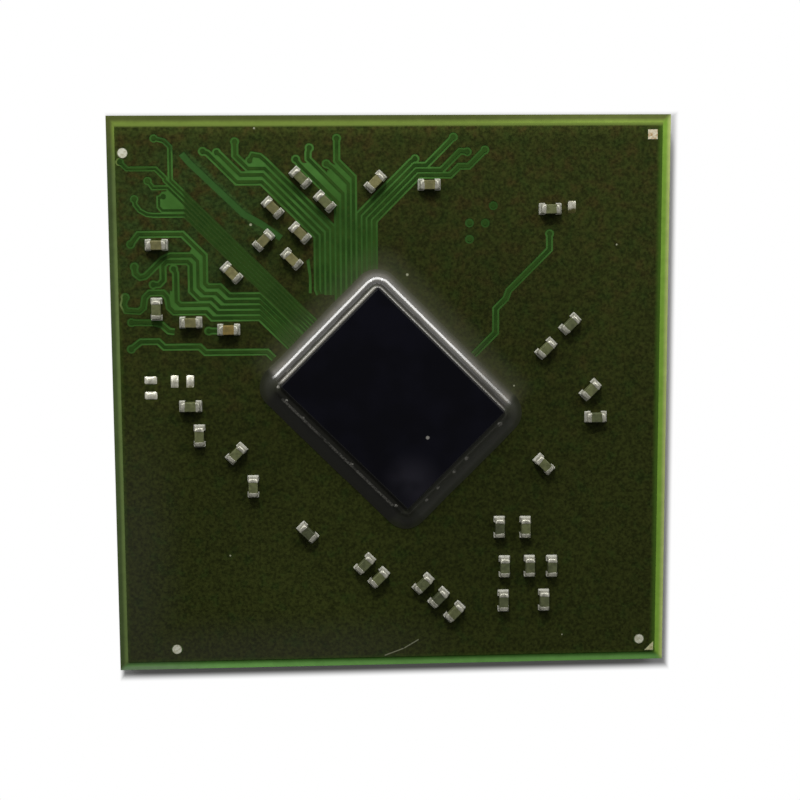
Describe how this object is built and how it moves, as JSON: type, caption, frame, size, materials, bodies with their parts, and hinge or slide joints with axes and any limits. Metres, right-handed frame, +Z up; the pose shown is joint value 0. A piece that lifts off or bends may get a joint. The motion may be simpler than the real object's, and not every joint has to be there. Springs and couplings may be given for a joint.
{
  "type": "integrated circuit",
  "caption": "Flip-chip integrated circuit: bare turned die with an underfill fillet on a square laminate, chip capacitors and routed copper round it, solder ball grid below.",
  "frame": {"origin": "middle of the seating plane below the solder balls", "axes": "+Z up from the board towards the die, +X and +Y along the laminate's sides, with the pin one mark in the +X, -Y corner"},
  "size_m": [0.029, 0.029, 0.0024],
  "materials": {
    "laminate": "green masked laminate, satin",
    "masked_copper": "copper below dark green mask, satin",
    "masked_trace": "copper below green mask, satin",
    "plated_mark": "bare gold plating",
    "solder": "bright solder",
    "silicon": "polished silicon, near black",
    "underfill": "smooth grey epoxy",
    "ball_alloy": "solder, slightly dull",
    "capacitor": "brown ceramic with bright plated ends"
  },
  "bodies": {
    "root": {"substrate": "laminate", "copper_pour": "masked_copper", "signal_traces": "masked_trace", "fiducial_dots": "plated_mark", "corner_pad": "plated_mark", "pin_one_mark": "plated_mark", "bare_pads": "solder", "capacitor_solder": "solder", "die": "silicon", "die_bumps": "solder", "underfill": "underfill", "corner_balls": "ball_alloy", "signal_balls": "ball_alloy", "capacitor_01": "capacitor", "capacitor_02": "capacitor", "capacitor_03": "capacitor", "capacitor_04": "capacitor", "capacitor_05": "capacitor", "capacitor_06": "capacitor", "capacitor_07": "capacitor", "capacitor_08": "capacitor", "capacitor_09": "capacitor", "capacitor_10": "capacitor", "capacitor_11": "capacitor", "capacitor_12": "capacitor", "capacitor_13": "capacitor", "capacitor_14": "capacitor", "capacitor_15": "capacitor", "capacitor_16": "capacitor", "capacitor_17": "capacitor", "capacitor_18": "capacitor", "capacitor_19": "capacitor", "capacitor_20": "capacitor", "capacitor_21": "capacitor", "capacitor_22": "capacitor", "capacitor_23": "capacitor", "capacitor_24": "capacitor", "capacitor_25": "capacitor", "capacitor_26": "capacitor", "capacitor_27": "capacitor", "capacitor_28": "capacitor", "capacitor_29": "capacitor", "capacitor_30": "capacitor", "capacitor_31": "capacitor", "capacitor_32": "capacitor", "capacitor_33": "capacitor", "capacitor_34": "capacitor", "capacitor_35": "capacitor", "capacitor_36": "capacitor"}
  },
  "joints": []
}
